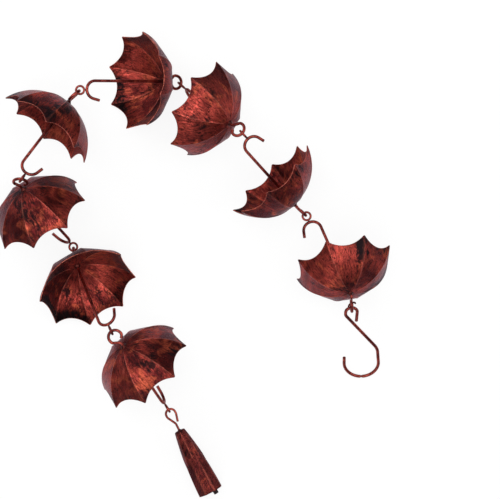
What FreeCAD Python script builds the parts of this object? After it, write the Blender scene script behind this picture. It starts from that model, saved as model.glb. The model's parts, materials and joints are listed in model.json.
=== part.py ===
import FreeCAD, Part
import math
import os

Vector = FreeCAD.Vector

doc = FreeCAD.newDocument("rain_chain")
sheet = doc.addObject("Spreadsheet::Sheet", "Sizes")

# Driving sizes, in millimetres and degrees
sizes = {
    # pressed canopy of one cup
    "gores": 8,
    "tipRadius": 50.0,
    "canopyDepth": 36.0,
    "sheetThickness": 0.8,
    "crownRadius": 3.4,
    "loftSteps": 6,
    "scallopDepth": 6.8,
    "tipWidth": 1.6,
    "scallopStart": 0.35,
    "scallopSpan": 0.8,
    "wireHoleGap": 0.4,
    # bent wire of one cup
    "wireDiameter": 3.0,
    "stemLength": 76.0,
    "hookRadius": 9.0,
    "hookFlare": 15.0,
    "hookTail": 6.5,
    "neckLength": 3.0,
    "loopRadius": 6.6,
    "loopReach": 19.4,
    "loopNeck": 3.6,
    "loopShoulder": 9.2,
    "loopEndGap": 0.4,
    "loopEndDrop": 1.2,
    "bendRadius": 4.0,
    "neckBend": 3.2,
    "crownBend": 2.0,
    # ring brazed under the handle
    "ringWire": 2.2,
    "ringRadius": 4.0,
    "brazeGap": 0.1,
    "linkGap": 0.3,
    # gutter hook
    "hookWire": 3.2,
    "bigHookRadius": 18.0,
    "smallHookRadius": 5.9,
    "hookLength": 88.0,
    "hookShift": 20.5,
    "smallLeg": 10.5,
    "bigLeg": 7.0,
    "hookHeading": 91.0,
    "hookSlope": 36.0,
    "hookMouth": 1.0,
    "hookEase": 0.9,
    "hookCrown": 0.97,
    "smallHookLeg": 9.4,
    # small open ring on the first loop
    "keeperWire": 1.8,
    "keeperRadius": 3.7,
    "keeperOpening": 70.0,
    "keeperPlace": 9.5,
    "keeperTurn": 28.0,
    "keeperLeg": 6.1,
    # bell and clapper
    "bellSides": 8,
    "bellSteps": 5,
    "bellLength": 69.0,
    "bellTopRadius": 5.4,
    "bellMouthRadius": 13.2,
    "bellBulge": 1.6,
    "bellSheet": 0.8,
    "bellWire": 2.3,
    "eyeRadius": 4.9,
    "eyeReach": 24.0,
    "eyeLength": 15.0,
    "eyeShoulder": 6.9,
    "eyeNeck": 1.0,
    "bellHeading": 297.0,
    "bellTilt": -3.0,
    "perchDepth": 19.0,
    "perchLeg": 6.6,
    "perchGap": 0.35,
    "perchBend": 1.35,
    "perchRest": 0.2,
    "clapperRadius": 2.5,
    "clapperHead": 3.0,
    "clapperReach": 6.0,
    "clapperDroop": 3.6,
    "clapperSwing": 4.0,
}

# How each cup lies: headings turn left from +X, tilts rise from the floor, both along the way to the handle
lay = {
    "stemHeading": [113, 133, 139, 182, 235, 310, 295, 302],
    "stemTilt": [-19, 24, -43, 27, 20, -36, 38, -30],
    "loopHeading": [92, 137, 142, 177, 222, 267, 280, 313],
    "loopTilt": [30, 48, -33, 36, -47, -62, -3, -9],
    "loopFlat": [0, 0, 1, 1, 0, 1, 0, 1],
    "canopyHeading": [101.9, 133.7, 150.9, 181.8, 230.9, 301.5, 300.0, 312.1],
    "canopyTilt": [-30.1, 11.0, -27.9, 35.5, 9.4, -34.8, 43.6, -33.3],
    "canopySpin": [28.9, 30.2, 22.7, 24.1, 43.3, 23.2, 22.6, 23.4],
    "handleSide": [1, -1, 1, 1, 1, -1, 1, 1],
    "handleRoll": [0, 0, -75, 0, 0, -60, 10, -80],
}
cups = len(lay["stemHeading"])

for row, (name, value) in enumerate(sizes.items(), 1):
    sheet.set("A%d" % row, name)
    sheet.set("B%d" % row, str(value))
    sheet.setAlias("B%d" % row, name)
for column, (name, values) in enumerate(lay.items()):
    letter = chr(ord("D") + column)
    sheet.set("%s%d" % (letter, 1), name)
    for cup, value in enumerate(values):
        sheet.set("%s%d" % (letter, cup + 2), str(value))
        sheet.setAlias("%s%d" % (letter, cup + 2), "%sOfCup%d" % (name, cup + 1))
doc.recompute()


def size(name):
    return float(sheet.get(name))


def cupValue(name, cup):
    return float(sheet.get("%sOfCup%d" % (name, cup)))


def bind(thing, **expressions):
    for prop, expression in expressions.items():
        thing.setExpression(prop.replace("_", "."), expression)
    return thing


def direction(heading, tilt):
    flat = math.cos(math.radians(tilt))
    return Vector(
        math.cos(math.radians(heading)) * flat,
        math.sin(math.radians(heading)) * flat,
        math.sin(math.radians(tilt)),
    )


def sideways(along, heading, roll):
    """A unit vector square to along: level and to the left at no roll, and turned upwards by it."""
    left = Vector(-math.sin(math.radians(heading)), math.cos(math.radians(heading)), 0)
    over = along.cross(left)
    angle = math.radians(roll)
    return (left * math.cos(angle) + over * math.sin(angle)).normalize()


def roundedPath(points, radii):
    """Straight runs through the points, joined by tangent arcs of the given radii."""
    edges = []
    start = points[0]
    for corner in range(1, len(points) - 1):
        here = points[corner]
        back = (points[corner - 1] - here).normalize()
        ahead = (points[corner + 1] - here).normalize()
        half = back.getAngle(ahead) / 2
        reach = radii[corner - 1] / math.tan(half)
        bisector = (back + ahead).normalize()
        enter = here + back * reach
        leave = here + ahead * reach
        middle = here + bisector * (radii[corner - 1] / math.sin(half) - radii[corner - 1])
        if (enter - start).Length > 1e-4:
            edges.append(Part.LineSegment(start, enter).toShape())
        edges.append(Part.Arc(enter, middle, leave).toShape())
        start = leave
    edges.append(Part.LineSegment(start, points[-1]).toShape())
    return Part.Wire(edges)


def bentWire(path, diameter):
    first = path.Edges[0]
    section = Part.makeCircle(
        diameter / 2, first.valueAt(first.FirstParameter), first.tangentAt(first.FirstParameter)
    )
    return path.makePipeShell([Part.Wire([section])], True, False)


def frame(origin, zAxis, xAxis):
    """The placement whose local Z and X run along the two given directions."""
    yAxis = zAxis.cross(xAxis).normalize()
    turn = FreeCAD.Rotation(yAxis.cross(zAxis), yAxis, zAxis, "ZXY")
    return FreeCAD.Placement(origin, turn)


def feature(name, shape):
    thing = doc.addObject("Part::Feature", name)
    thing.Shape = shape
    return thing


# Canopy: polygon sections along a round crown line, lofted outside and inside
def canopySections(label, offset):
    """Gore polygons from the rim to the crown, on a dome that stands offset inside the outer one."""
    dome = "((Sizes.tipRadius^2 + Sizes.canopyDepth^2) / (2 * Sizes.canopyDepth))"
    drop = "(%s - Sizes.canopyDepth)" % dome
    skin = "(%s - %s)" % (dome, offset)
    sections = []
    steps = int(size("loftSteps"))
    for step in range(steps + 1):
        share = step / steps
        section = doc.addObject("Part::RegularPolygon", "%s%d" % (label, step))
        rim = "asin(%s / %s)" % (drop, skin)
        crown = "acos(Sizes.crownRadius / %s)" % skin
        angle = "(%s + (%s - %s) * %s)" % (rim, crown, rim, share)
        bind(
            section,
            Polygon="Sizes.gores",
            Circumradius="%s * cos(%s)" % (skin, angle),
            Placement_Base_z="%s * sin(%s) - %s" % (skin, angle, dome),
        )
        sections.append(section)
    return sections


def loft(name, sections):
    thing = doc.addObject("Part::Loft", name)
    thing.Sections = sections
    thing.Solid = True
    thing.Ruled = False
    thing.MaxDegree = 5
    return thing


canopyOuter = loft("CanopyOuter", canopySections("OuterGore", "0"))
canopyInner = loft("CanopyInner", canopySections("InnerGore", "Sizes.sheetThickness"))
canopySkin = doc.addObject("Part::Cut", "CanopySkin")
canopySkin.Base = canopyOuter
canopySkin.Tool = canopyInner

scallops = []
for gore in range(int(size("gores"))):
    scallop = doc.addObject("Part::Cylinder", "Scallop%d" % (gore + 1))
    halfChord = "(Sizes.tipRadius * sin(180 / Sizes.gores) - Sizes.tipWidth / 2)"
    radius = "((%s^2 + Sizes.scallopDepth^2) / (2 * Sizes.scallopDepth))" % halfChord
    bind(scallop, Radius=radius, Height="Sizes.tipRadius * Sizes.scallopSpan")
    middle = (gore + 0.5) * 360 / size("gores")
    outward = direction(middle, 0)
    scallop.Placement = frame(outward * size("tipRadius") * size("scallopStart"), outward, Vector(0, 0, 1))
    bind(scallop, Placement_Base_z="Sizes.scallopDepth - Sizes.canopyDepth - %s" % radius)
    scallops.append(scallop)
scallopTools = doc.addObject("Part::MultiFuse", "ScallopTools")
scallopTools.Shapes = scallops
canopyBlank = doc.addObject("Part::Cut", "CanopyBlank")
canopyBlank.Base = canopySkin
canopyBlank.Tool = scallopTools
doc.recompute()

pieces = []
placed = {}


def addPiece(thing, label, placement):
    thing.Label = label
    thing.Placement = placement
    pieces.append(thing)
    placed[label] = placement


# Each cup in turn, from the gutter hook down to the bell
def ringCentre(apex, stem, side, heading):
    """A ring stands level, just past the point of the handle's bend that faces the heading."""
    level = direction(heading, 0)
    square = stem.cross(side)
    facing = (level - square * level.dot(square)).normalize()
    bend = apex + stem * size("stemLength") + side * size("hookRadius")
    brazed = (size("wireDiameter") + size("ringWire")) / 2 + size("brazeGap")
    return bend + facing * size("hookRadius") + level * (brazed + size("ringRadius"))


def linkReach(wire):
    """Between the centrelines of a ring and of a wire that pulls on its inside."""
    return (size("ringWire") + wire) / 2 + size("linkGap")


def loopCentreBelow(stem, loopAlong):
    """From the crown of the canopy to the middle of the loop's round end."""
    bend = stem * -size("neckLength")
    return bend - loopAlong * (size("loopReach") - size("neckLength") - size("loopRadius"))


def hangerPath(stem, side, loopAlong, loopSide):
    """The loop, the stem and the handle of one cup as one line, with the crown of the canopy at the origin."""
    reach = size("loopReach")
    radius = size("loopRadius")
    neck = stem * -size("neckLength")

    def loopPoint(across, up):
        return neck - loopAlong * (up - size("neckLength")) + loopSide * across

    flare = math.radians(size("hookFlare"))
    bottom = size("stemLength") + size("hookRadius")
    turn = size("hookRadius") * (1 + math.tan(math.radians(90 - size("hookFlare")) / 2))
    corner = stem * bottom + side * turn
    tailRun = size("hookTail") + size("hookRadius") * math.tan(math.radians(90 - size("hookFlare")) / 2)
    points = [
        loopPoint(
            size("wireDiameter") + size("loopEndGap"),
            size("neckLength") + size("loopNeck") + size("loopEndDrop"),
        ),
        loopPoint(radius, reach - size("loopShoulder")),
        loopPoint(radius, reach),
        loopPoint(-radius, reach),
        loopPoint(-radius, reach - size("loopShoulder")),
        loopPoint(0, size("neckLength") + size("loopNeck") / 2),
        neck,
        stem * bottom,
        corner,
        corner + (side * math.sin(flare) - stem * math.cos(flare)) * tailRun,
    ]
    soft = size("bendRadius")
    handle = size("hookRadius")
    return roundedPath(points, [soft, radius, radius, soft, size("neckBend"), size("crownBend"), handle, handle])


apex = Vector(0, 0, 0)
links = []
lastRing = apex
lastHeading = 0
for cup in range(1, cups + 1):
    stemHeading = cupValue("stemHeading", cup)
    stem = direction(stemHeading, cupValue("stemTilt", cup))
    side = sideways(stem, stemHeading, cupValue("handleRoll", cup) * cupValue("handleSide", cup))
    side = side * cupValue("handleSide", cup)
    loopHeading = cupValue("loopHeading", cup)
    loopAlong = direction(loopHeading, cupValue("loopTilt", cup))
    flat = cupValue("loopFlat", cup)
    loopSide = sideways(loopAlong, loopHeading, 90 * (1 - flat))
    loopWay = direction(loopHeading, 0)
    loopCentre = loopCentreBelow(stem, loopAlong)
    if cup > 1 and flat:
        ringSide = lastRing + direction(lastHeading, 0) * size("ringRadius")
        apex = ringSide - loopWay * linkReach(size("wireDiameter")) + loopAlong * size("loopRadius") - loopCentre
        links.append(ringSide)
    elif cup > 1:
        hinge = lastRing + loopWay * (size("ringRadius") - linkReach(size("wireDiameter")))
        apex = hinge + loopWay * size("loopRadius") - loopCentre
        links.append(hinge)
    wire = feature("Hanger%d" % cup, bentWire(hangerPath(stem, side, loopAlong, loopSide), size("wireDiameter")))
    addPiece(wire, "hanger_%d" % cup, FreeCAD.Placement(apex, FreeCAD.Rotation()))

    canopyHeading = cupValue("canopyHeading", cup)
    canopyAxis = direction(canopyHeading, cupValue("canopyTilt", cup))
    spin = cupValue("canopySpin", cup)
    level = sideways(canopyAxis, canopyHeading, -90)
    across = canopyAxis.cross(level)
    tip = level * math.cos(math.radians(spin)) + across * math.sin(math.radians(spin))
    canopyPlace = frame(apex, canopyAxis * -1, tip)
    hole = doc.addObject("Part::Cylinder", "WireHole%d" % cup)
    bind(hole, Radius="Sizes.wireDiameter / 2 + Sizes.wireHoleGap", Height="Sizes.canopyDepth")
    localStem = canopyPlace.Rotation.inverted().multVec(stem)
    hole.Placement = frame(localStem * (-size("canopyDepth") / 2), localStem, Vector(1, 0, 0).cross(localStem))
    canopy = doc.addObject("Part::Cut", "Canopy%d" % cup)
    canopy.Base = canopyBlank
    canopy.Tool = hole
    addPiece(canopy, "canopy_%d" % cup, canopyPlace)

    lastRing = ringCentre(apex, stem, side, stemHeading)
    lastHeading = stemHeading
    nextFlat = cupValue("loopFlat", cup + 1) if cup < cups else 1
    ringNormal = sideways(direction(stemHeading, 0), stemHeading, 90 * (1 - nextFlat))
    torus = doc.addObject("Part::Torus", "RingRound%d" % cup)
    bind(torus, Radius1="Sizes.ringRadius", Radius2="Sizes.ringWire / 2")
    addPiece(torus, "ring_%d" % cup, frame(lastRing, ringNormal, direction(stemHeading, 0)))

# Gutter hook, from its small free end round to its large one
firstStem = direction(cupValue("stemHeading", 1), cupValue("stemTilt", 1))
firstLoop = direction(cupValue("loopHeading", 1), cupValue("loopTilt", 1))
firstLoopEnd = loopCentreBelow(firstStem, firstLoop) - firstLoop * size("loopRadius")
hookAlong = direction(size("hookHeading"), size("hookSlope")) * -1
hookSide = sideways(hookAlong, size("hookHeading"), 0) * -1
hookContact = (size("hookWire") + size("wireDiameter")) / 2 + size("linkGap")
hookTop = firstLoopEnd - hookAlong * hookContact


def hookPoint(across, down):
    return hookTop + hookSide * across + hookAlong * down


small = size("smallHookRadius")
big = size("bigHookRadius")
length = size("hookLength")
bigMiddle = size("hookShift") - big / 2
hookPoints = [
    hookPoint(small - size("hookMouth"), small + size("smallLeg")),
    hookPoint(small, 0),
    hookPoint(-small, 0),
    hookPoint(-small, size("smallHookLeg")),
    hookPoint(bigMiddle + big - small / 2, length - big * 2),
    hookPoint(bigMiddle + big, length),
    hookPoint(bigMiddle - big, length),
    hookPoint(bigMiddle - big, length - big - size("bigLeg")),
]
ease = size("hookEase")
hookRadii = [small * ease, small, small * ease, big * ease, big * size("hookCrown"), big]
hookWire = feature("GutterHook", bentWire(roundedPath(hookPoints, hookRadii), size("hookWire")))
addPiece(hookWire, "gutter_hook", FreeCAD.Placement())

# Open ring on the upper leg of the first loop
keeperSide = sideways(firstLoop, cupValue("loopHeading", 1), 90)
keeperLeg = firstLoopEnd + firstLoop * size("keeperPlace") + keeperSide * size("keeperLeg")
keeperSeat = size("keeperRadius") - (size("keeperWire") + size("wireDiameter")) / 2 - size("linkGap")
keeperTurn = FreeCAD.Rotation(keeperSide, size("keeperTurn"))
keeper = doc.addObject("Part::Torus", "Keeper")
bind(keeper, Radius1="Sizes.keeperRadius", Radius2="Sizes.keeperWire / 2", Angle3="360 - Sizes.keeperOpening")
keeperStart = keeperTurn.multVec(keeperSide.cross(firstLoop) * -1)
addPiece(
    keeper,
    "keeper_ring",
    frame(keeperLeg - keeperSide * keeperSeat, keeperTurn.multVec(firstLoop), keeperStart),
)

# Bell: a folded cone with eight sides, open at its mouth
bellAlong = direction(size("bellHeading"), size("bellTilt"))
bellLevel = sideways(bellAlong, size("bellHeading"), 0)
bellOver = sideways(bellAlong, size("bellHeading"), 90)
bellLink = lastRing + direction(lastHeading, 0) * size("ringRadius")
links.append(bellLink)
eyeEnd = bellLink - direction(size("bellHeading"), 0) * linkReach(size("bellWire"))
bellTop = eyeEnd + bellAlong * size("eyeReach")


def bellSections(label, wall, lid):
    """Polygons down the bell, pulled in by the wall and lowered at the top by the lid."""
    sections = []
    steps = int(size("bellSteps"))
    for step in range(steps + 1):
        share = step / steps
        section = doc.addObject("Part::RegularPolygon", "%s%d" % (label, step))
        cone = "Sizes.bellTopRadius + (Sizes.bellMouthRadius - Sizes.bellTopRadius) * %s" % share
        bulge = "Sizes.bellBulge * 4 * %s * (1 - %s)" % (share, share)
        bind(
            section,
            Polygon="Sizes.bellSides",
            Circumradius="%s + %s - %s" % (cone, bulge, wall),
            Placement_Base_z="-Sizes.bellLength * %s - %s * (1 - %s)" % (share, lid, share),
        )
        sections.append(section)
    return sections


bellOuter = loft("BellOuter", bellSections("BellOuterFold", "0", "0"))
bellInner = loft("BellInner", bellSections("BellInnerFold", "Sizes.bellSheet", "Sizes.bellSheet"))
bellHole = doc.addObject("Part::Cylinder", "BellHole")
bind(bellHole, Radius="(Sizes.bellWire + Sizes.brazeGap) / 2", Height="Sizes.bellSheet * 3")
bind(bellHole, Placement_Base_z="-Sizes.bellSheet * 2")
bellTools = doc.addObject("Part::MultiFuse", "BellTools")
bellTools.Shapes = [bellInner, bellHole]
bell = doc.addObject("Part::Cut", "Bell")
bell.Base = bellOuter
bell.Tool = bellTools
addPiece(bell, "bell", frame(bellTop, bellAlong * -1, bellOver))

# Wire of the bell: an eye outside and a perch for the clapper inside
eye = size("eyeRadius")


def eyePoint(across, down, over=0.0):
    return bellTop + bellAlong * down + bellLevel * across + bellOver * over


eyeTop = -size("eyeReach")
eyeBase = eyeTop + size("eyeLength")
perch = size("perchDepth")
eyePoints = [
    eyePoint(size("bellWire") + size("loopEndGap"), eyeBase),
    eyePoint(eye, eyeTop + size("eyeShoulder")),
    eyePoint(eye, eyeTop),
    eyePoint(-eye, eyeTop),
    eyePoint(-eye, eyeTop + size("eyeShoulder")),
    eyePoint(0, eyeBase + size("eyeNeck")),
    eyePoint(0, perch),
    eyePoint(0, perch, -size("perchLeg")),
]
soft = size("bendRadius")
eyeRadii = [soft, eye, eye, soft, soft, size("perchBend")]
bellWire = feature("BellWire", bentWire(roundedPath(eyePoints, eyeRadii), size("bellWire")))
addPiece(bellWire, "bell_wire", FreeCAD.Placement())

# Clapper: a rod with a cross hole, hung on the perch and leaning on the bell's wall
perchOver = -(size("bellWire") + size("brazeGap")) / 2 - size("clapperRadius")
rodStart = eyePoint(0, perch, perchOver - size("perchRest"))
rodAlong = FreeCAD.Rotation(bellLevel, size("clapperDroop")).multVec(bellAlong)
rodAlong = FreeCAD.Rotation(bellOver, size("clapperSwing")).multVec(rodAlong)
rod = doc.addObject("Part::Cylinder", "ClapperRod")
rodLength = "Sizes.bellLength + Sizes.clapperReach - Sizes.perchDepth + Sizes.clapperHead"
bind(rod, Radius="Sizes.clapperRadius", Height=rodLength, Placement_Base_z="-Sizes.clapperHead")
rodHole = doc.addObject("Part::Cylinder", "ClapperHole")
bind(rodHole, Radius="Sizes.bellWire / 2 + Sizes.perchGap", Height="Sizes.clapperRadius * 4")
rodHole.Placement = FreeCAD.Placement(Vector(0, 0, 0), FreeCAD.Rotation(Vector(0, 1, 0), 90))
bind(rodHole, Placement_Base_x="-Sizes.clapperRadius * 2")
clapper = doc.addObject("Part::Cut", "Clapper")
clapper.Base = rod
clapper.Tool = rodHole
rodOver = bellOver - rodAlong * bellOver.dot(rodAlong)
addPiece(clapper, "clapper", frame(rodStart, rodAlong, rodOver))

doc.recompute()
faults = [thing.Label for thing in doc.Objects if "Invalid" in thing.State or "Error" in thing.State]
faults += [thing.Label for thing in pieces if thing.Shape.isNull() or not thing.Shape.isValid()]
if faults:
    raise RuntimeError("failed to build: " + ", ".join(faults))

# The frame's origin is at the middle of the whole chain's footprint, on the floor
box = FreeCAD.BoundBox()
for thing in pieces:
    box.add(thing.Shape.optimalBoundingBox(False))
shift = Vector(-box.Center.x, -box.Center.y, -box.ZMin)
for thing in pieces:
    moved = thing.Placement
    moved.Base = moved.Base + shift
    thing.Placement = moved
doc.recompute()

os.makedirs("parts", exist_ok=True)
for thing in pieces:
    print(thing.Label, len(thing.Shape.Solids), "solid,", round(thing.Shape.Volume, 1), "mm3")
    thing.Shape.exportStep(os.path.join("parts", thing.Label + ".step"))

turns = {"gutter_hook": firstLoopEnd + shift}
for cup, point in enumerate(links, 1):
    turns["ring_%d" % cup] = point + shift
turns["perch"] = eyePoint(0, perch) + shift
for name, point in turns.items():
    print("link at", name, [round(value, 3) for value in point])
print("overall", [round(value, 1) for value in (box.XLength, box.YLength, box.ZLength)])
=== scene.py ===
import json
import math

import bpy
from mathutils import Matrix, Vector, noise


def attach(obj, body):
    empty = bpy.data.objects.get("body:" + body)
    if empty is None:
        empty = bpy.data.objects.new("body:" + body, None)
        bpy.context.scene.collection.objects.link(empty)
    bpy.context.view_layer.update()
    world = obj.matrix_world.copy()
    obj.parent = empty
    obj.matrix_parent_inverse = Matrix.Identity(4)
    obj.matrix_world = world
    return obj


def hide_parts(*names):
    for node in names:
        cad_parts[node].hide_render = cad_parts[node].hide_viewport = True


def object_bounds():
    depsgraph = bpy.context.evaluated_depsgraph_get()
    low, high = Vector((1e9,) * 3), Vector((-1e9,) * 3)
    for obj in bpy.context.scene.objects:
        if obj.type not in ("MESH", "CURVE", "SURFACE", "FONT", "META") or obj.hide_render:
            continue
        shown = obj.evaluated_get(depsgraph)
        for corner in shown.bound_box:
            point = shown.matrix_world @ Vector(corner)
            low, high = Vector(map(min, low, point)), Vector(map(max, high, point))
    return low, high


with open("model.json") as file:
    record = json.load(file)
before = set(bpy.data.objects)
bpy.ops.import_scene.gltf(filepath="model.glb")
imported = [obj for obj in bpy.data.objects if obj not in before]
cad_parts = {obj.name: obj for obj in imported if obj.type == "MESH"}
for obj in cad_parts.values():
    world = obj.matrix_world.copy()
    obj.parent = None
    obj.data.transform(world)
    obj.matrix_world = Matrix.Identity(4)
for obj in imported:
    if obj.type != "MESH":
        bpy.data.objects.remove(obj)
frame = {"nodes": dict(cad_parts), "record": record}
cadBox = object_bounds()
record = frame["record"]
print("frame loaded")

# How the chain lies, cup by cup, with every angle in degrees. A loop that isn't flat stands on edge
lying = {
    "stemHeading": [113, 133, 139, 182, 235, 310, 295, 302],
    "stemTilt": [-19, 24, -43, 27, 20, -36, 38, -30],
    "loopHeading": [92, 137, 142, 177, 222, 267, 280, 313],
    "loopTilt": [30, 48, -33, 36, -47, -62, -3, -9],
    "loopFlat": [0, 0, 1, 1, 0, 1, 0, 1],
    "canopyHeading": [101.9, 133.7, 150.9, 181.8, 230.9, 301.5, 300.0, 312.1],
    "canopyTilt": [-30.1, 11.0, -27.9, 35.5, 9.4, -34.8, 43.6, -33.3],
    "canopySpin": [28.9, 30.2, 22.7, 24.1, 43.3, 23.2, 22.6, 23.4],
    "handleSide": [1, -1, 1, 1, 1, -1, 1, 1],
    "handleRoll": [0, 0, -75, 0, 0, -60, 10, -80],
}
cups = len(lying["stemHeading"])
pivots = {joint["name"]: Vector(joint["pos_m"]) for joint in record["behaviour"]["joints"]}


# A heading turns about the upright axis and a tilt lifts from the floor
def direction(heading, tilt):
    flat = math.cos(math.radians(tilt))
    return Vector((
        math.cos(math.radians(heading)) * flat,
        math.sin(math.radians(heading)) * flat,
        math.sin(math.radians(tilt)),
    ))


def sideways(along, heading, roll):
    left = Vector((-math.sin(math.radians(heading)), math.cos(math.radians(heading)), 0))
    over = along.cross(left)
    return (left * math.cos(math.radians(roll)) + over * math.sin(math.radians(roll))).normalized()


def placement(origin, zAxis, xAxis):
    yAxis = zAxis.cross(xAxis).normalized()
    columns = [yAxis.cross(zAxis), yAxis, zAxis]
    turn = Matrix([[column[row] for column in columns] for row in range(3)]).to_4x4()
    return Matrix.Translation(origin) @ turn


def roundedPath(points, radii, steps=10):
    path = [points[0]]
    for corner in range(1, len(points) - 1):
        here = points[corner]
        back = (points[corner - 1] - here).normalized()
        ahead = (points[corner + 1] - here).normalized()
        half = back.angle(ahead) / 2
        radius = radii[corner - 1]
        bisector = (back + ahead).normalized()
        centre = here + bisector * (radius / math.sin(half))
        enter = here + back * (radius / math.tan(half)) - centre
        leave = here + ahead * (radius / math.tan(half)) - centre
        if (enter + centre - path[-1]).length < 1e-6:  # bends that meet share a point
            path.pop()
        for step in range(steps + 1):
            path.append(centre + enter.slerp(leave, step / steps).normalized() * radius)
    path.append(points[-1])
    return path


# Node helpers
def addNode(tree, kind, inputs=None, **settings):
    node = tree.nodes.new(kind)
    for name, value in settings.items():
        setattr(node, name, value)
    for name, value in (inputs or {}).items():
        if isinstance(value, bpy.types.NodeSocket):
            tree.links.new(value, node.inputs[name])
        else:
            node.inputs[name].default_value = value
    return node


def out(node, name=0):
    return node.outputs[name]


def ramp(tree, value, stops):
    node = addNode(tree, "ShaderNodeValToRGB", {"Fac": value})
    while len(node.color_ramp.elements) < len(stops):
        node.color_ramp.elements.new(0.5)
    for element, (place, colour) in zip(node.color_ramp.elements, stops):
        element.position = place
        element.color = (*colour, 1) if isinstance(colour, tuple) else (colour, colour, colour, 1)
    return out(node)


def blendColours(tree, factor, first, second):
    node = addNode(tree, "ShaderNodeMix", data_type="RGBA")
    # Its sockets share their names, so they go by number: factor, first colour, second colour
    for place, value in ((0, factor), (6, first), (7, second)):
        if isinstance(value, bpy.types.NodeSocket):
            tree.links.new(value, node.inputs[place])
        else:
            node.inputs[place].default_value = value if place == 0 else (*value, 1)
    return node.outputs[2]


def calculate(tree, operation, first, second=0.0, clamp=False):
    node = addNode(tree, "ShaderNodeMath", operation=operation, use_clamp=clamp)
    for place, value in ((0, first), (1, second)):
        if isinstance(value, bpy.types.NodeSocket):
            tree.links.new(value, node.inputs[place])
        else:
            node.inputs[place].default_value = value
    return out(node)


def clouds(tree, vector, scale, pattern):
    node = addNode(tree, "ShaderNodeTexNoise", {
        "Vector": vector, "Scale": scale, "Detail": pattern["detail"], "Roughness": pattern["rough"],
        "Distortion": pattern["bent"],
    })
    return out(node)


def stretched(tree, vector, scale, turn):
    node = addNode(tree, "ShaderNodeMapping", {
        "Vector": vector, "Scale": scale, "Rotation": (0, 0, math.radians(turn)),
    })
    return out(node)


# The noise behind each layer of the finish, with the degrees that it is turned
patterns = {
    "broad": {"detail": 4, "rough": 0.55, "bent": 0.8},
    "tint": {"turn": 40, "detail": 3, "rough": 0.5, "bent": 1.2, "size": 1.9},
    "brushed": {"turn": 12, "detail": 7, "rough": 0.8, "bent": 1.1},
    "crossed": {"turn": -48, "detail": 5, "rough": 0.72, "bent": 1.6},
    "fine": {"turn": 36, "detail": 4, "rough": 0.7, "bent": 0.9},
    "hairs": {"turn": 20, "detail": 3, "rough": 0.6, "bent": 1.4},
    "hollows": {"turn": 75, "detail": 2, "rough": 0.5, "bent": 0.6, "size": 0.8},
    "smudge": {"turn": 52, "detail": 6, "rough": 0.74, "bent": 1.8},
}

# Where each layer starts and ends, as pairs of noise value and strength
masks = {
    "warm": [(0.38, 0.0), (0.6, 1.0)],
    "orange": [(0.55, 0.0), (0.69, 0.7)],
    "polished": [(0.58, 0.0), (0.74, 0.5)],
    "crossed": [(0.38, 1.0), (0.45, 0.0)],
    "fine": [(0.39, 0.95), (0.45, 0.0)],
    "hairs": [(0.45, 0.0), (0.49, 1.0), (0.51, 1.0), (0.55, 0.0)],
    "hairPlaces": [(0.45, 1.0), (0.58, 0.0)],
    "rimPlaces": [(0.46, 0.2), (0.58, 1.0)],
    "rimBreaks": [(0.3, 1.0), (0.66, 0.4)],
    # worn breaks up the bright creases and cut edges, partly wear and partly a painted highlight
    "worn": [(0.36, 0.05), (0.58, 0.75)],
}


def patterned(tree, vector, scale, kind, size=1.0):
    pattern = patterns[kind]
    return clouds(tree, stretched(tree, vector, scale, pattern["turn"]), size, pattern)


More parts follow.
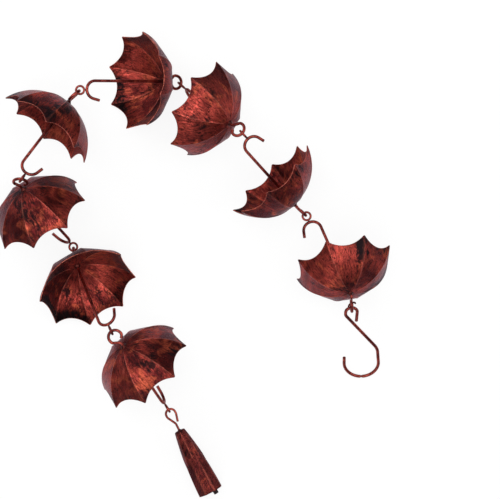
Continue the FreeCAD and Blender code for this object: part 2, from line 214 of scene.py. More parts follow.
def agedCopper(name, look):
    material = bpy.data.materials.new(name)
    material.use_nodes = True
    tree = material.node_tree
    tree.nodes.clear()
    coordinates = addNode(tree, "ShaderNodeTexCoord")
    solid = out(coordinates, "Object")
    along = out(addNode(tree, "ShaderNodeUVMap", uv_map="press")) if look["pressed"] else solid

    # Heat-tinted patches, from deep red to orange
    broad = clouds(tree, solid, look["broad"], patterns["broad"])
    tone = blendColours(tree, ramp(tree, broad, masks["warm"]), look["deep"], look["warm"])
    tint = patterned(tree, solid, (1, 1, 1), "tint", look["broad"] * patterns["tint"]["size"])
    tone = blendColours(tree, ramp(tree, tint, masks["orange"]), tone, look["orange"])

    # Brushing along the pressing, then scratches that cross it
    brushed = patterned(tree, along, look["grain"], "brushed")
    shadow = ramp(tree, brushed, [(0.36, look["brushShadow"] * look["lined"]), (0.52, 0.0)])
    tone = blendColours(tree, shadow, tone, look["scratch"])
    tone = blendColours(tree, ramp(tree, brushed, masks["polished"]), tone, look["bright"])
    crossed = patterned(tree, along, look["cross"], "crossed")
    fine = patterned(tree, along, look["fine"], "fine")
    lines = calculate(tree, "MAXIMUM", ramp(tree, crossed, masks["crossed"]), ramp(tree, fine, masks["fine"]))
    hairs = ramp(tree, patterned(tree, along, look["hair"], "hairs"), masks["hairs"])
    hairs = calculate(tree, "MULTIPLY", hairs, ramp(tree, fine, masks["hairPlaces"]))
    lines = calculate(tree, "MAXIMUM", lines, hairs)
    lines = calculate(tree, "MULTIPLY", lines, ramp(tree, tint, [(0.4, 1.0), (0.62, look["keptLines"])]))
    lines = calculate(tree, "MULTIPLY", lines, look["lined"])
    tone = blendColours(tree, lines, tone, look["scratch"])

    # Black-brown patina that the buffing left, in a few places and along parts of the rims
    hollows = patterned(tree, solid, (1, 1, 1), "hollows", look["broad"] * patterns["hollows"]["size"])
    smudge = patterned(tree, along, look["smudge"], "smudge")
    smudge = calculate(tree, "MULTIPLY", calculate(tree, "ADD", smudge, hollows), 0.5)
    smudge = ramp(tree, smudge, [(look["smudgeFrom"], 0.0), (look["smudgeTo"], look["smudgeDepth"])])
    if look["pressed"]:
        dirt = out(addNode(tree, "ShaderNodeAttribute", attribute_name="dirt"), "Fac")
        rim = calculate(tree, "MULTIPLY", dirt, ramp(tree, hollows, masks["rimPlaces"]))
        rim = calculate(tree, "MULTIPLY", rim, ramp(tree, crossed, masks["rimBreaks"]))
        smudge = calculate(tree, "ADD", smudge, rim, True)
    tone = blendColours(tree, smudge, tone, look["patina"])

    # Bright metal along creases and cut edges, partly real wear and partly a painted highlight along the ridges and
    # rims
    if look["pressed"]:
        wearAndHighlight = out(addNode(tree, "ShaderNodeAttribute", attribute_name="wearAndHighlight"), "Fac")
        wearAndHighlight = calculate(tree, "MULTIPLY", wearAndHighlight, ramp(tree, brushed, masks["worn"]))
        tone = blendColours(tree, wearAndHighlight, tone, look["bright"])

    roughness = ramp(tree, tint, [(0.3, look["smooth"]), (0.7, look["rough"])])
    roughness = calculate(tree, "ADD", roughness, calculate(tree, "MULTIPLY", smudge, look["dull"]))
    relief = calculate(tree, "SUBTRACT", calculate(tree, "MULTIPLY", brushed, look["brushRelief"]), lines)
    relief = calculate(tree, "ADD", relief, calculate(tree, "MULTIPLY", broad, look["broadRelief"]))
    bump = addNode(tree, "ShaderNodeBump", {
        "Strength": look["bump"], "Distance": look["reliefHeight"], "Height": relief,
    })
    shader = addNode(tree, "ShaderNodeBsdfPrincipled", {
        "Base Color": tone, "Roughness": roughness, "Normal": out(bump), "Metallic": look["metal"],
        "Specular Tint": look["edge"], "Sheen Weight": look["dusty"], "Sheen Roughness": look["dustRough"],
        "Sheen Tint": look["dust"],
    })
    addNode(tree, "ShaderNodeOutputMaterial", {"Surface": out(shader)})
    return material


# Pattern scales are repeats a metre. Pressed metal reads its own UV map, and edge tints grazing reflections
sheetLook = {
    "pressed": True, "broad": 30.0, "grain": (430, 120, 1), "cross": (560, 130, 1), "fine": (700, 170, 1),
    "hair": (330, 270, 1), "smudge": (130, 70, 1), "smudgeFrom": 0.545, "smudgeTo": 0.6, "smudgeDepth": 0.94,
    "deep": (0.09, 0.009, 0.009), "warm": (0.41, 0.055, 0.04), "orange": (0.6, 0.11, 0.053),
    "bright": (0.8, 0.22, 0.15), "scratch": (0.022, 0.005, 0.005), "patina": (0.01, 0.005, 0.006),
    "brushShadow": 0.7, "keptLines": 0.85, "lined": 1.0, "smooth": 0.26, "rough": 0.4, "dull": 0.15,
    "bump": 0.32, "brushRelief": 0.6, "broadRelief": 1.5, "reliefHeight": 0.0004, "metal": 0.92,
    "edge": (0.6, 0.55, 0.6, 1), "dusty": 0.16, "dustRough": 0.35, "dust": (0.62, 0.5, 0.54, 1),
}
wireLook = dict(
    sheetLook, pressed=False, broad=70.0, grain=(190, 190, 190), cross=(240, 420, 240), fine=(500, 300, 500),
    hair=(260, 260, 260), smudge=(110, 110, 110), smudgeFrom=0.55, smudgeTo=0.64, lined=0.4, dusty=0.06,
    edge=(0.9, 0.8, 0.85, 1), deep=(0.12, 0.018, 0.016), warm=(0.32, 0.055, 0.042), orange=(0.46, 0.095, 0.06),
)
clapperLook = dict(
    wireLook, deep=(0.01, 0.006, 0.006), warm=(0.02, 0.011, 0.011), orange=(0.03, 0.016, 0.014),
    bright=(0.09, 0.045, 0.04), scratch=(0.005, 0.004, 0.004), patina=(0.006, 0.005, 0.005),
)
brazeLook = dict(wireLook, deep=(0.022, 0.006, 0.006), warm=(0.1, 0.02, 0.017), orange=(0.17, 0.035, 0.024))
bellLook = dict(
    sheetLook, broad=24.0, deep=(0.07, 0.009, 0.009), warm=(0.21, 0.032, 0.026), orange=(0.34, 0.055, 0.03),
    bright=(0.42, 0.1, 0.07), smooth=0.36, rough=0.5,
)
sheetCopper = agedCopper("agedCopperSheet", sheetLook)
bellCopper = agedCopper("agedCopperBell", bellLook)
brazeMetal = agedCopper("darkBraze", brazeLook)
wireCopper = agedCopper("agedCopperWire", wireLook)
clapperBronze = agedCopper("darkBronze", clapperLook)
print("materials made")


# Geometry Nodes for what follows a rule
def newGroup(name, sizes):
    group = bpy.data.node_groups.new(name, "GeometryNodeTree")
    group.interface.new_socket("Geometry", in_out="INPUT", socket_type="NodeSocketGeometry")
    for label, kind in sizes.items():
        group.interface.new_socket(label, in_out="INPUT", socket_type="NodeSocket" + kind)
    group.interface.new_socket("Geometry", in_out="OUTPUT", socket_type="NodeSocketGeometry")
    return group, group.nodes.new("NodeGroupInput"), group.nodes.new("NodeGroupOutput")


def tubeGroup(name):
    group, start, end = newGroup(name, {"Radius": "Float", "Sides": "Int", "Material": "Material"})
    section = addNode(group, "GeometryNodeCurvePrimitiveCircle", {
        "Resolution": out(start, "Sides"), "Radius": out(start, "Radius"),
    })
    tube = addNode(group, "GeometryNodeCurveToMesh", {
        "Curve": out(start), "Profile Curve": out(section), "Fill Caps": True,
    })
    smooth = addNode(group, "GeometryNodeSetShadeSmooth", {"Geometry": out(tube)})
    solid = addNode(group, "GeometryNodeRealizeInstances", {"Geometry": out(smooth)})
    painted = addNode(group, "GeometryNodeSetMaterial", {"Geometry": out(solid), "Material": out(start, "Material")})
    group.links.new(out(painted), end.inputs[0])
    return group


def ringGroup(name):
    group, start, end = newGroup(name, {"Count": "Int", "Merge": "Float", "Material": "Material"})
    points = addNode(group, "GeometryNodePoints", {"Count": out(start, "Count")})
    index = addNode(group, "GeometryNodeInputIndex")
    share = addNode(group, "ShaderNodeMath", {0: out(index), 1: out(start, "Count")}, operation="DIVIDE")
    angle = addNode(group, "ShaderNodeMath", {0: out(share), 1: math.tau}, operation="MULTIPLY")
    turn = addNode(group, "ShaderNodeCombineXYZ", {"Z": out(angle)})
    copies = addNode(group, "GeometryNodeInstanceOnPoints", {
        "Points": out(points), "Instance": out(start), "Rotation": out(turn),
    })
    solid = addNode(group, "GeometryNodeRealizeInstances", {"Geometry": out(copies)})
    joined = addNode(group, "GeometryNodeMergeByDistance", {"Geometry": out(solid), "Distance": out(start, "Merge")})
    smooth = addNode(group, "GeometryNodeSetShadeSmooth", {"Geometry": out(joined)})
    painted = addNode(group, "GeometryNodeSetMaterial", {"Geometry": out(smooth), "Material": out(start, "Material")})
    group.links.new(out(painted), end.inputs[0])
    return group


def baked(thing, group, values):
    modifier = thing.modifiers.new("form", "NODES")
    modifier.node_group = group
    for socket in group.interface.items_tree:
        if socket.in_out == "INPUT" and socket.name in values:
            modifier[socket.identifier] = values[socket.name]
    bpy.context.view_layer.update()
    depsgraph = bpy.context.evaluated_depsgraph_get()
    mesh = bpy.data.meshes.new_from_object(thing.evaluated_get(depsgraph))
    thing.modifiers.remove(modifier)
    bpy.data.objects.remove(thing)
    return mesh


def addObject(name, data):
    thing = bpy.data.objects.new(name, data)
    bpy.context.scene.collection.objects.link(thing)
    return thing


wornEnd = [(0.0, 0.55), (0.22, 0.84), (0.6, 1.0)]  # shares of the wire's radius: how far in, how wide


def cutEnd(path, radius):
    # The worn edge that the cutter leaves on a wire, then the rest of its line
    points, gone, rest = [], 0.0, list(path)
    for share, width in wornEnd:
        while len(rest) > 2 and gone + (rest[1] - rest[0]).length < share * radius:
            gone += (rest[1] - rest[0]).length
            rest.pop(0)
        ahead = (rest[1] - rest[0]).normalized()
        points.append((rest[0] + ahead * (share * radius - gone), width))
    return points, rest[1:]


bentTube = tubeGroup("bentTube")


def tubeMesh(name, path, thick, sides, closed=False):
    knots = [(point, 1.0) for point in path]
    if not closed:
        first, rest = cutEnd(path, thick / 2)
        last, rest = cutEnd(rest[::-1], thick / 2)
        knots = first + [(point, 1.0) for point in rest[::-1]] + last[::-1]
    curve = bpy.data.curves.new(name, "CURVE")
    curve.dimensions = "3D"
    spline = curve.splines.new("POLY")
    spline.points.add(len(knots) - 1)
    for point, (place, width) in zip(spline.points, knots):
        point.co = (*place, 1)
        point.radius = width
    spline.use_cyclic_u = closed
    values = {"Radius": thick / 2, "Sides": sides, "Material": wireCopper}
    return baked(addObject(name + "Line", curve), bentTube, values)


def brazeMesh(shape, place):
    # A form turned about its own upright axis, open at both ends and a little lumpy
    profile, around = brazeForm[shape], brazeForm["around"][shape]
    vertices = []
    for radius, height in profile:
        for step in range(around):
            angle = math.tau * step / around
            point = Vector((radius * math.cos(angle), radius * math.sin(angle), height))
            lump = brazeForm["lumps"] * noise.noise(point * brazeForm["lumpScale"])
            vertices.append(place @ (point * (1 + lump)))
    faces = []
    for row in range(len(profile) - 1):
        for step in range(around):
            following = (step + 1) % around
            faces.append((row * around + step, row * around + following,
                          (row + 1) * around + following, (row + 1) * around + step))
    mesh = bpy.data.meshes.new(shape)
    mesh.from_pydata(vertices, [], faces)
    mesh.polygons.foreach_set("use_smooth", [True] * len(faces))
    mesh.materials.append(brazeMetal)
    return mesh


def finishPiece(name, mesh, body, nodes):
    mesh.name = name
    thing = addObject(name, mesh)
    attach(thing, body)
    if nodes:
        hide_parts(*nodes)


def pastShare(value, start, end):
    # 0 up to start, then 1 at end
    return max(0.0, (value - start) / (end - start))


# Canopy: one pressed gore, repeated round the crown
canopyForm = {
    "gores": 8, "tipRadius": 0.05, "depth": 0.036, "thick": 0.0008, "scallop": 0.0068, "tipWidth": 0.0016,
    "crown": 0.0019, "bulge": 0.16, "ridge": 0.00024, "ridgeWidth": 0.07, "ridgeRise": 4, "merge": 0.00002,
    "acrossSteps": 20, "alongSteps": 40, "rimPacking": 1.25, "rimBack": 0.98, "rimRound": 0.8,
    "pressWidth": 0.019, "pressCrown": 0.15, "pressLength": 0.05,
    "dent": 0.00045, "dentScale": 38, "smallDents": 2.7, "smallDentShare": 0.4, "firmCrown": 0.004,
    "goreShift": (0.173, 0.119), "cupShift": (0.31, -0.27), "dentShift": (3.7, 1.3, 5.1),
}

# Shares of a gore's width and height where patina gathers, and where the creases and cut edge turn bright: partly
# worn metal, partly a painted highlight
canopyWear = {
    "tipAcross": 0.55, "tipUp": 0.72, "tipDirt": 1.4, "edgeUp": 0.84, "edgeDirt": 0.9, "crownUp": 0.12,
    "crownDirt": 0.9, "creaseWidth": 0.045, "creaseRise": 4, "creaseWearAndHighlight": 0.6, "creaseFade": 0.85,
    "cutUp": 1.01, "cutWearAndHighlight": 0.9,
}
domeRadius = (canopyForm["tipRadius"] ** 2 + canopyForm["depth"] ** 2) / (2 * canopyForm["depth"])
halfGore = math.pi / canopyForm["gores"]
halfChord = canopyForm["tipRadius"] * math.sin(halfGore) - canopyForm["tipWidth"] / 2
arcRadius = (halfChord ** 2 + canopyForm["scallop"] ** 2) / (2 * canopyForm["scallop"])


def goreWidth(around):
    bulge = canopyForm["bulge"]
    return math.cos(halfGore) / math.cos(around) * (1 - bulge) + bulge


def rimAngle(around):
    # The hollow edge lies on the dome, so its height and its place across are found in turns
    angle = math.acos(1 - canopyForm["depth"] / domeRadius)
    for repeat in range(12):
        across = abs(domeRadius * math.sin(angle) * goreWidth(around) * math.sin(around))
        lift = 0.0
        if across < halfChord:
            lift = canopyForm["scallop"] - arcRadius + math.sqrt(arcRadius ** 2 - across ** 2)
        angle = math.acos(1 - (canopyForm["depth"] - lift) / domeRadius)
    return angle


def gorePoint(share, along, inset):
    around = share * halfGore
    crownAngle = math.asin(canopyForm["crown"] / domeRadius)
    angle = crownAngle + (rimAngle(around) - crownAngle) * along
    fold = math.exp(-((1 - abs(share)) / canopyForm["ridgeWidth"]) ** 2) * canopyForm["ridge"]
    radius = domeRadius - inset + fold * min(1, along * canopyForm["ridgeRise"])
    flat = radius * math.sin(angle) * goreWidth(around)
    turned = around + halfGore
    return Vector((flat * math.cos(turned), flat * math.sin(turned), radius * math.cos(angle) - domeRadius))


def goreRows():
    # Rows of point, share across and share up: outside, round the cut edge, then inside
    wide, high = canopyForm["acrossSteps"], canopyForm["alongSteps"]
    shares = [math.sin((step / wide * 2 - 1) * math.pi / 2) for step in range(wide + 1)]
    ups = [1 - (1 - step / high) ** canopyForm["rimPacking"] for step in range(high + 1)]
    rows = []
    for up in ups:
        rows.append([(gorePoint(share, up, 0), share, up) for share in shares])
    middle = canopyForm["thick"] / 2
    for turn in (30, 90, 150):  # degrees round the cut edge
        depth = middle * (1 - math.cos(math.radians(turn)))
        outward = middle * math.sin(math.radians(turn)) * canopyForm["rimRound"]
        row = []
        for share in shares:
            edge = gorePoint(share, 1, depth)
            before = gorePoint(share, canopyForm["rimBack"], depth)
            row.append((edge + (edge - before).normalized() * outward, share, canopyWear["cutUp"]))
        rows.append(row)
    for up in reversed(ups):
        rows.append([(gorePoint(share, up, canopyForm["thick"]), share, up) for share in shares])
    return rows


def goreMesh():
    rows = goreRows()
    count = len(rows[0])
    vertices = [point for row in rows for point, share, up in row]
    shares = [(share, up) for row in rows for point, share, up in row]
    faces = []
    for row in range(len(rows)):
        following = (row + 1) % len(rows)
        for column in range(count - 1):
            faces.append((
                row * count + column, following * count + column,
                following * count + column + 1, row * count + column + 1,
            ))
    mesh = bpy.data.meshes.new("gore")
    mesh.from_pydata(vertices, [], faces)
    layer = mesh.uv_layers.new(name="press")
    dirt = mesh.attributes.new("dirt", "FLOAT", "POINT")
    wearAndHighlight = mesh.attributes.new("wearAndHighlight", "FLOAT", "POINT")
    for loop in mesh.loops:
        share, up = shares[loop.vertex_index]
        across = share * canopyForm["pressWidth"] * (canopyForm["pressCrown"] + up)
        layer.data[loop.index].uv = (across, up * canopyForm["pressLength"])
    for place, (share, up) in enumerate(shares):
        tip = pastShare(abs(share), canopyWear["tipAcross"], 1) * pastShare(up, canopyWear["tipUp"], 1)
        edge = pastShare(up, canopyWear["edgeUp"], 1)
        crown = pastShare(up, canopyWear["crownUp"], 0)
        dirt.data[place].value = min(1.0, tip * canopyWear["tipDirt"] + edge * canopyWear["edgeDirt"]
                                     + crown * canopyWear["crownDirt"])
        # The bright crease, strongest near the crown and fading to the rim, and the bright cut edge: partly wear,
        # partly a painted highlight
        crease = math.exp(-((1 - abs(share)) / canopyWear["creaseWidth"]) ** 2)
        crease *= min(canopyWear["creaseWearAndHighlight"], up * canopyWear["creaseRise"]) * (1 - canopyWear["creaseFade"] * up)
        wearAndHighlight.data[place].value = max(crease, canopyWear["cutWearAndHighlight"] if up > 1 else 0.0)
    return mesh


goreRing = ringGroup("goreRing")
goreValues = {"Count": canopyForm["gores"], "Merge": canopyForm["merge"], "Material": sheetCopper}
canopyMesh = baked(addObject("goreSource", goreMesh()), goreRing, goreValues)
print("canopy formed:", len(canopyMesh.polygons), "faces")


def ownGrain(mesh, cup):
    # Each gore of each cup reads another place of the brushed pattern
    layer = mesh.uv_layers["press"].data
    for face in mesh.polygons:
        gore = int(math.atan2(face.center.y, face.center.x) / (2 * halfGore) % canopyForm["gores"])
        steps = zip(canopyForm["goreShift"], canopyForm["cupShift"])
        shift = Vector([byGore * gore + byCup * cup for byGore, byCup in steps])
        for loop in face.loop_indices:
            layer[loop].uv = layer[loop].uv + shift


def dented(mesh, seed):
    shift = Vector([seed * step for step in canopyForm["dentShift"]])
    for vertex in mesh.vertices:
        if vertex.co.length > canopyForm["firmCrown"]:
            place = vertex.co * canopyForm["dentScale"] + shift
            small = noise.noise(place * canopyForm["smallDents"])
            push = noise.noise(place) + canopyForm["smallDentShare"] * small
            vertex.co += vertex.co.normalized() * push * canopyForm["dent"]


def keptInside(mesh, box):
    for vertex in mesh.vertices:
        vertex.co = [min(max(value, low), high) for value, low, high in zip(vertex.co, *box)]


# The bent wire of a cup: loop, stem and J handle, with the small ring brazed to the handle
wire = {
    "thick": 0.003, "stem": 0.076, "bend": 0.009, "flare": 15, "tail": 0.0065, "neckLength": 0.003,
    "loopRadius": 0.0066, "loopReach": 0.0194, "loopNeck": 0.0036, "loopShoulder": 0.0092, "endGap": 0.0004,
    "endDrop": 0.0012, "soft": 0.004, "neckBend": 0.0032, "crownBend": 0.002, "ringRadius": 0.004,
    "ringWire": 0.0022, "linkGap": 0.0003, "braze": 0.0001, "sides": 20,
}


def linkReach(thick):
    return (wire["ringWire"] + thick) / 2 + wire["linkGap"]


def hangerPath(stem, side, loopAlong, loopSide):
    radius, reach = wire["loopRadius"], wire["loopReach"]
    neck = stem * -wire["neckLength"]

    def loopPoint(across, up):
        return neck - loopAlong * (up - wire["neckLength"]) + loopSide * across

    slant = math.tan(math.radians(90 - wire["flare"]) / 2)
    bottom = wire["stem"] + wire["bend"]
    corner = stem * bottom + side * wire["bend"] * (1 + slant)
    flare = math.radians(wire["flare"])
    tail = (side * math.sin(flare) - stem * math.cos(flare)) * (wire["tail"] + wire["bend"] * slant)
    points = [
        loopPoint(wire["thick"] + wire["endGap"], wire["neckLength"] + wire["loopNeck"] + wire["endDrop"]),
        loopPoint(radius, reach - wire["loopShoulder"]),
        loopPoint(radius, reach),
        loopPoint(-radius, reach),
        loopPoint(-radius, reach - wire["loopShoulder"]),
        loopPoint(0, wire["neckLength"] + wire["loopNeck"] / 2),
        neck,
        stem * bottom,
        corner,
        corner + tail,
    ]
    soft = wire["soft"]
    radii = [soft, radius, radius, soft, wire["neckBend"], wire["crownBend"], wire["bend"], wire["bend"]]
    return roundedPath(points, radii)


def circlePath(centre, normal, start, radius, turn=360.0, steps=40):
    across = normal.cross(start).normalized()
    level = across.cross(normal)
    path = []
    for step in range(steps + (1 if turn < 360 else 0)):
        angle = math.radians(turn) * step / steps
        path.append(centre + (level * math.cos(angle) + across * math.sin(angle)) * radius)
    return path


# Braze as pairs of radius and height: a collar at the crown, and beads at the ring and at the bell's top
brazeForm = {
    "collar": [(0.0014, -0.0022), (0.0019, -0.0018), (0.0024, -0.001), (0.0031, -0.0003), (0.0034, 0.0003),
               (0.0033, 0.0009), (0.0028, 0.0015), (0.0021, 0.0022), (0.0016, 0.003), (0.0013, 0.0034)],
    "bead": [(0.0003, -0.0012), (0.0009, -0.0009), (0.0011, -0.0004), (0.0009, 0.0002), (0.0011, 0.0007),
             (0.001, 0.0011), (0.0004, 0.0014)],
    "bellBead": [(0.0011, 0.0016), (0.0014, 0.0011), (0.0019, 0.0005), (0.0023, 0.0), (0.0021, -0.0004)],
    "around": {"collar": 28, "bead": 20, "bellBead": 24}, "lumps": 0.12, "lumpScale": 700,
}

for cup in range(cups):
    number = cup + 1
    body = "cup_%d" % number
    stemHeading = lying["stemHeading"][cup]
    stem = direction(stemHeading, lying["stemTilt"][cup])
    handleSide = lying["handleSide"][cup]
    side = sideways(stem, stemHeading, lying["handleRoll"][cup] * handleSide) * handleSide
    loopHeading = lying["loopHeading"][cup]
    loopAlong = direction(loopHeading, lying["loopTilt"][cup])
    flat = lying["loopFlat"][cup]
    loopSide = sideways(loopAlong, loopHeading, 90 * (1 - flat))
    loopWay = direction(loopHeading, 0)
    fromBend = wire["loopReach"] - wire["neckLength"] - wire["loopRadius"]
    loopCentre = stem * -wire["neckLength"] - loopAlong * fromBend
    pivot = pivots["link_%d" % number]

    # The crown goes where its loop meets the joint: under the hook, or through the ring before it
    if cup == 0:
        apex = pivot + loopAlong * wire["loopRadius"] - loopCentre
    elif flat:
        apex = pivot - loopWay * linkReach(wire["thick"]) + loopAlong * wire["loopRadius"] - loopCentre
    else:
        apex = pivot + loopWay * wire["loopRadius"] - loopCentre

    path = [apex + point for point in hangerPath(stem, side, loopAlong, loopSide)]
    mesh = tubeMesh("hanger", path, wire["thick"], wire["sides"])
    finishPiece("wire_hanger_%d" % number, mesh, body, ["hanger_%d" % number])

    canopyHeading = lying["canopyHeading"][cup]
    canopyAxis = direction(canopyHeading, lying["canopyTilt"][cup])
    spin = math.radians(lying["canopySpin"][cup])
    level = sideways(canopyAxis, canopyHeading, -90)
    tip = level * math.cos(spin) + canopyAxis.cross(level) * math.sin(spin)
    mesh = canopyMesh.copy()
    ownGrain(mesh, cup)
    dented(mesh, number)
    mesh.transform(placement(apex, canopyAxis * -1, tip))
    keptInside(mesh, cadBox)
    finishPiece("pressed_canopy_%d" % number, mesh, body, ["canopy_%d" % number])

    # The ring lies across the next loop, just clear of the handle's bend
    lastWay = direction(stemHeading, 0)
    square = stem.cross(side)
    facing = (lastWay - square * lastWay.dot(square)).normalized()
    touch = apex + stem * wire["stem"] + side * wire["bend"] + facing * wire["bend"]
    brazed = (wire["thick"] + wire["ringWire"]) / 2 + wire["braze"]
    ringCentre = touch + lastWay * (brazed + wire["ringRadius"])
    nextFlat = lying["loopFlat"][number] if number < cups else 1
    ringNormal = sideways(lastWay, stemHeading, 90 * (1 - nextFlat))
    path = circlePath(ringCentre, ringNormal, lastWay, wire["ringRadius"])
    mesh = tubeMesh("ring", path, wire["ringWire"], wire["sides"], True)
    finishPiece("round_ring_%d" % number, mesh, body, ["ring_%d" % number])

    # The braze at the crown closes the hole round the wire, and a bead holds the ring to the handle
    collarAxis = (stem + canopyAxis).normalized()
    collarPlace = placement(apex, collarAxis, collarAxis.orthogonal().normalized())
    finishPiece("crown_braze_%d" % number, brazeMesh("collar", collarPlace), body, [])
    beadPlace = placement(touch + lastWay * brazed / 2, lastWay, lastWay.orthogonal().normalized())
    finishPiece("ring_braze_%d" % number, brazeMesh("bead", beadPlace), body, [])
print("cups made")

# The S-shaped hook, and the small open ring on the first loop
hook = {
    "thick": 0.0032, "big": 0.018, "small": 0.0059, "length": 0.088, "shift": 0.0205, "smallLeg": 0.0105,
    "bigLeg": 0.007, "heading": 91, "slope": 36, "mouth": 0.001, "ease": 0.9, "crown": 0.97, "leg": 0.0094,
    "gap": 0.0003, "sides": 24, "bendSteps": 14,
}
hookAlong = direction(hook["heading"], hook["slope"]) * -1
hookSide = sideways(hookAlong, hook["heading"], 0) * -1
hookTop = pivots["link_1"] - hookAlong * ((hook["thick"] + wire["thick"]) / 2 + hook["gap"])
small, big, bottom = hook["small"], hook["big"], hook["length"]
middle = hook["shift"] - big / 2
places = [
    (small - hook["mouth"], small + hook["smallLeg"]), (small, 0), (-small, 0), (-small, hook["leg"]),
    (middle + big - small / 2, bottom - big * 2), (middle + big, bottom), (middle - big, bottom),
    (middle - big, bottom - big - hook["bigLeg"]),
]
ease = hook["ease"]
radii = [small * ease, small, small * ease, big * ease, big * hook["crown"], big]
points = [hookTop + hookSide * across + hookAlong * down for across, down in places]
mesh = tubeMesh("hook", roundedPath(points, radii, hook["bendSteps"]), hook["thick"], hook["sides"])
finishPiece("wire_gutter_hook", mesh, "gutter_hook", ["gutter_hook"])

keeper = {
    "thick": 0.0018, "radius": 0.0037, "opening": 70, "place": 0.0095, "turn": 28, "leg": 0.0061, "gap": 0.0003,
    "sides": 16,
}
firstLoop = direction(lying["loopHeading"][0], lying["loopTilt"][0])
keeperSide = sideways(firstLoop, lying["loopHeading"][0], 90)
seat = keeper["radius"] - (keeper["thick"] + wire["thick"]) / 2 - keeper["gap"]
centre = pivots["link_1"] + firstLoop * keeper["place"] + keeperSide * (keeper["leg"] - seat)
turned = Matrix.Rotation(math.radians(keeper["turn"]), 3, keeperSide)
path = circlePath(centre, turned @ firstLoop, turned @ (keeperSide.cross(firstLoop) * -1),
                  keeper["radius"], 360 - keeper["opening"])
mesh = tubeMesh("keeper", path, keeper["thick"], keeper["sides"])
finishPiece("open_keeper_ring", mesh, "cup_1", ["keeper_ring"])
print("hook and keeper ring bent")

# Bell: folded sheet whose edges change sides half way down
bellForm = {
    "length": 0.069, "top": 0.0054, "mouth": 0.0132, "bulge": 0.0016, "sheet": 0.0008, "sides": 8, "heading": 297,
    "tilt": -3, "reach": 0.024, "turnFrom": 0.42, "turnTo": 0.6, "round": 0.22, "around": 96, "down": 60,
    "closed": 0.72, "edgeIn": 0.0007, "edgeRound": 0.0002, "lipRound": 0.997, "insideTop": 0.015,
    "pressSpread": 0.008,
}
bellWear = {
    "topDown": 0.05, "lipUp": 0.96, "lipDirt": 0.6, "foldWidth": 0.07, "foldWear": 0.7, "turnWear": 0.3,
    "turnEnd": 0.64,
}
bellAlong = direction(bellForm["heading"], bellForm["tilt"])
bellLevel = sideways(bellAlong, bellForm["heading"], 0)
bellOver = sideways(bellAlong, bellForm["heading"], 90)
bellCorner = math.pi / bellForm["sides"]


def pastFold(angle):
    return (angle + bellCorner) % (2 * bellCorner) - bellCorner


def foldedRadius(angle):
    flat = math.cos(bellCorner) / math.cos(bellCorner - abs(pastFold(angle)))
    return flat * (1 - bellForm["round"]) + bellForm["round"]


def bellPoint(angle, share, wall, rise=0.0):
    top, mouth = bellForm["top"], bellForm["mouth"]
    cone = top + (mouth - top) * share + bellForm["bulge"] * 4 * share * (1 - share)
    blend = min(1.0, max(0.0, (share - bellForm["turnFrom"]) / (bellForm["turnTo"] - bellForm["turnFrom"])))
    blend = blend * blend * (3 - 2 * blend)
    width = foldedRadius(angle) * (1 - blend) + foldedRadius(angle + bellCorner) * blend
    radius = (cone - wall) * width
    return Vector((radius * math.cos(angle), radius * math.sin(angle), -bellForm["length"] * share - rise))


def bellRows(angles):
    # Rows of point and share down: over the top, down the outside, round the mouth, then up the inside
    down, sheet, lip = bellForm["down"], bellForm["sheet"], bellForm["lipRound"]
    shares = [step / down for step in range(down + 1)]
    closed, edge = bellForm["top"] * bellForm["closed"], bellForm["edgeRound"]
    levels = [(0, closed, edge, 0.0), (0, bellForm["edgeIn"], 0.0, 0.0), (0, edge, edge, 0.01)]
    levels += [(share, 0, 0.0, share) for share in shares[1:-1]]
    levels += [(lip, 0, 0.0, 1.0), (1, sheet / 2, 0.0, 1.0)]
    levels += [(share * lip, sheet, 0.0, share) for share in reversed(shares[2:])]
    levels.append((bellForm["insideTop"], closed, 0.0, 0.0))
    return [[(bellPoint(angle, share, wall, rise), mark) for angle in angles] for share, wall, rise, mark in levels]


def bellMesh():
    around = bellForm["around"]
    angles = [math.tau * step / around for step in range(around)]
    rows = bellRows(angles)
    faces = []
    for row in range(len(rows)):
        following = (row + 1) % len(rows)
        for step in range(around):
            beside = (step + 1) % around
            faces.append((row * around + step, following * around + step,
                          following * around + beside, row * around + beside))
    mesh = bpy.data.meshes.new("bell")
    mesh.from_pydata([point for row in rows for point, share in row], [], faces)
    layer = mesh.uv_layers.new(name="press")
    dirt = mesh.attributes.new("dirt", "FLOAT", "POINT")
    wearAndHighlight = mesh.attributes.new("wearAndHighlight", "FLOAT", "POINT")
    for loop in mesh.loops:
        row, step = divmod(loop.vertex_index, around)
        share = rows[row][step][1]
        across = angles[step] * (bellForm["top"] + bellForm["pressSpread"] * share)
        layer.data[loop.index].uv = (across, share * bellForm["length"])
    for place in range(len(mesh.vertices)):
        row, step = divmod(place, around)
        share = rows[row][step][1]
        top = pastShare(share, bellWear["topDown"], 0)
        lip = pastShare(share, bellWear["lipUp"], 1)
        dirt.data[place].value = min(1.0, top + lip * bellWear["lipDirt"])
        past = pastFold(angles[step] + (0 if share < bellForm["turnFrom"] else bellCorner))
        turning = bellForm["turnFrom"] < share < bellWear["turnEnd"]
        strength = bellWear["turnWear"] if turning else bellWear["foldWear"]
        wearAndHighlight.data[place].value = math.exp(-(past / bellWear["foldWidth"]) ** 2) * strength
    mesh.polygons.foreach_set("use_smooth", [True] * len(faces))
    mesh.materials.append(bellCopper)
    return mesh


# The bell's wire: an eye above, a stem through the top, and a short bent end that the clapper hangs on
eye = {
    "thick": 0.0023, "radius": 0.0049, "length": 0.015, "shoulder": 0.0069, "neck": 0.001, "endGap": 0.0004,
    "soft": 0.004, "perch": 0.019, "perchLeg": 0.0066, "perchBend": 0.00135, "sides": 18, "bendSteps": 12,
}
eyeEnd = pivots["link_9"] - direction(bellForm["heading"], 0) * linkReach(eye["thick"])
bellTop = eyeEnd + bellAlong * bellForm["reach"]
bellPlace = placement(bellTop, bellAlong * -1, bellOver)
mesh = bellMesh()
mesh.transform(bellPlace)
finishPiece("folded_bell", mesh, "bell", ["bell"])

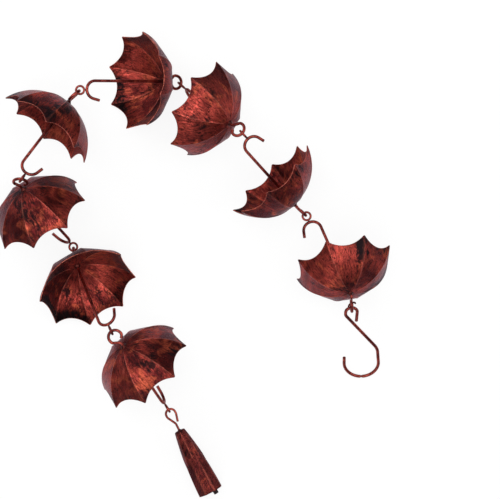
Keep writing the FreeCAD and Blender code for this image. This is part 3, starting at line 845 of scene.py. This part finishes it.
eyeTop = -bellForm["reach"]
eyeBase = eyeTop + eye["length"]
places = [
    (eye["thick"] + eye["endGap"], eyeBase, 0), (eye["radius"], eyeTop + eye["shoulder"], 0),
    (eye["radius"], eyeTop, 0), (-eye["radius"], eyeTop, 0), (-eye["radius"], eyeTop + eye["shoulder"], 0),
    (0, eyeBase + eye["neck"], 0), (0, eye["perch"], 0), (0, eye["perch"], -eye["perchLeg"]),
]
radii = [eye["soft"], eye["radius"], eye["radius"], eye["soft"], eye["soft"], eye["perchBend"]]
points = [bellTop + bellLevel * across + bellAlong * down + bellOver * over for across, down, over in places]
mesh = tubeMesh("eye", roundedPath(points, radii, eye["bendSteps"]), eye["thick"], eye["sides"])
finishPiece("bell_eye_wire", mesh, "bell", ["bell_wire"])
finishPiece("bell_braze", brazeMesh("bellBead", bellPlace), "bell", [])

clapper = frame["nodes"]["clapper"]
clapper.data.materials.clear()
clapper.data.materials.append(clapperBronze)
print("bell and clapper made")

# A pale floor that glows for the camera, and less for the reflections, so the lamps alone light the object
floorForm = {"size": 6.0, "colour": (0.93, 0.93, 0.93), "glow": 0.88, "mirrored": 0.4}
half = floorForm["size"] / 2
floorMesh = bpy.data.meshes.new("floor")
floorMesh.from_pydata([(-half, -half, 0), (half, -half, 0), (half, half, 0), (-half, half, 0)], [], [(0, 1, 2, 3)])
floor = addObject("floor", floorMesh)
paper = bpy.data.materials.new("paleFloor")
paper.use_nodes = True
tree = paper.node_tree
tree.nodes.clear()
rays = addNode(tree, "ShaderNodeLightPath")
mirrored = calculate(tree, "MULTIPLY", out(rays, "Is Glossy Ray"), floorForm["mirrored"])
seen = calculate(tree, "MAXIMUM", out(rays, "Is Camera Ray"), mirrored)
matt = addNode(tree, "ShaderNodeBsdfDiffuse", {"Color": (*floorForm["colour"], 1)})
glow = addNode(tree, "ShaderNodeEmission", {"Color": (1, 1, 1, 1), "Strength": 1.0})
glowShare = calculate(tree, "MULTIPLY", seen, floorForm["glow"])
mixed = addNode(tree, "ShaderNodeMixShader", {0: glowShare, 1: out(matt), 2: out(glow)})
addNode(tree, "ShaderNodeOutputMaterial", {"Surface": out(mixed)})
floorMesh.materials.append(paper)

# A studio that is bright overhead and darker towards the walls, with a white view for the camera
roomForm = {"walls": 0.065, "wallsTo": 0.2, "ceiling": 0.5, "ceilingFrom": 0.85}
world = bpy.data.worlds.new("studio")
world.use_nodes = True
tree = world.node_tree
tree.nodes.clear()
height = addNode(tree, "ShaderNodeSeparateXYZ", {"Vector": out(addNode(tree, "ShaderNodeTexCoord"), "Generated")})
walls, ceiling = (roomForm["wallsTo"], roomForm["walls"]), (roomForm["ceilingFrom"], roomForm["ceiling"])
shade = ramp(tree, out(height, "Z"), [walls, ceiling])
rays = addNode(tree, "ShaderNodeLightPath")
shade = calculate(tree, "MAXIMUM", shade, out(rays, "Is Camera Ray"))
sky = addNode(tree, "ShaderNodeBackground", {"Color": (1, 1, 1, 1), "Strength": shade})
addNode(tree, "ShaderNodeOutputWorld", {"Surface": out(sky)})
bpy.context.scene.world = world

# Four square lamps, each turned towards the middle of the floor
lamps = {
    "topLight": {"place": (0.0, 0.05, 1.5), "power": 14.5, "size": 1.2},
    "rightLight": {"place": (1.15, 0.1, 0.85), "power": 4.6, "size": 0.6},
    "leftLight": {"place": (-0.8, 0.85, 0.7), "power": 6.6, "size": 0.9},
    "frontLight": {"place": (-0.25, -1.05, 0.6), "power": 3.4, "size": 0.8},
}
for name, lamp in lamps.items():
    light = bpy.data.lights.new(name, "AREA")
    light.energy = lamp["power"]
    light.size = lamp["size"]
    thing = addObject(name, light)
    thing.location = lamp["place"]
    thing.rotation_euler = Vector(lamp["place"]).to_track_quat("Z", "Y").to_euler()

# The camera looks straight down, as the photograph does
cameraForm = {"place": (0.0576, 0.0173, 2.0045), "width": 0.507, "distance": 2.0}
camera = bpy.data.cameras.new("camera")
camera.sensor_fit = "HORIZONTAL"
camera.lens = camera.sensor_width * cameraForm["distance"] / cameraForm["width"]
cameraObject = addObject("camera", camera)
cameraObject.location = cameraForm["place"]
bpy.context.scene.camera = cameraObject
bpy.context.scene.view_settings.view_transform = "Standard"
print("stage set")
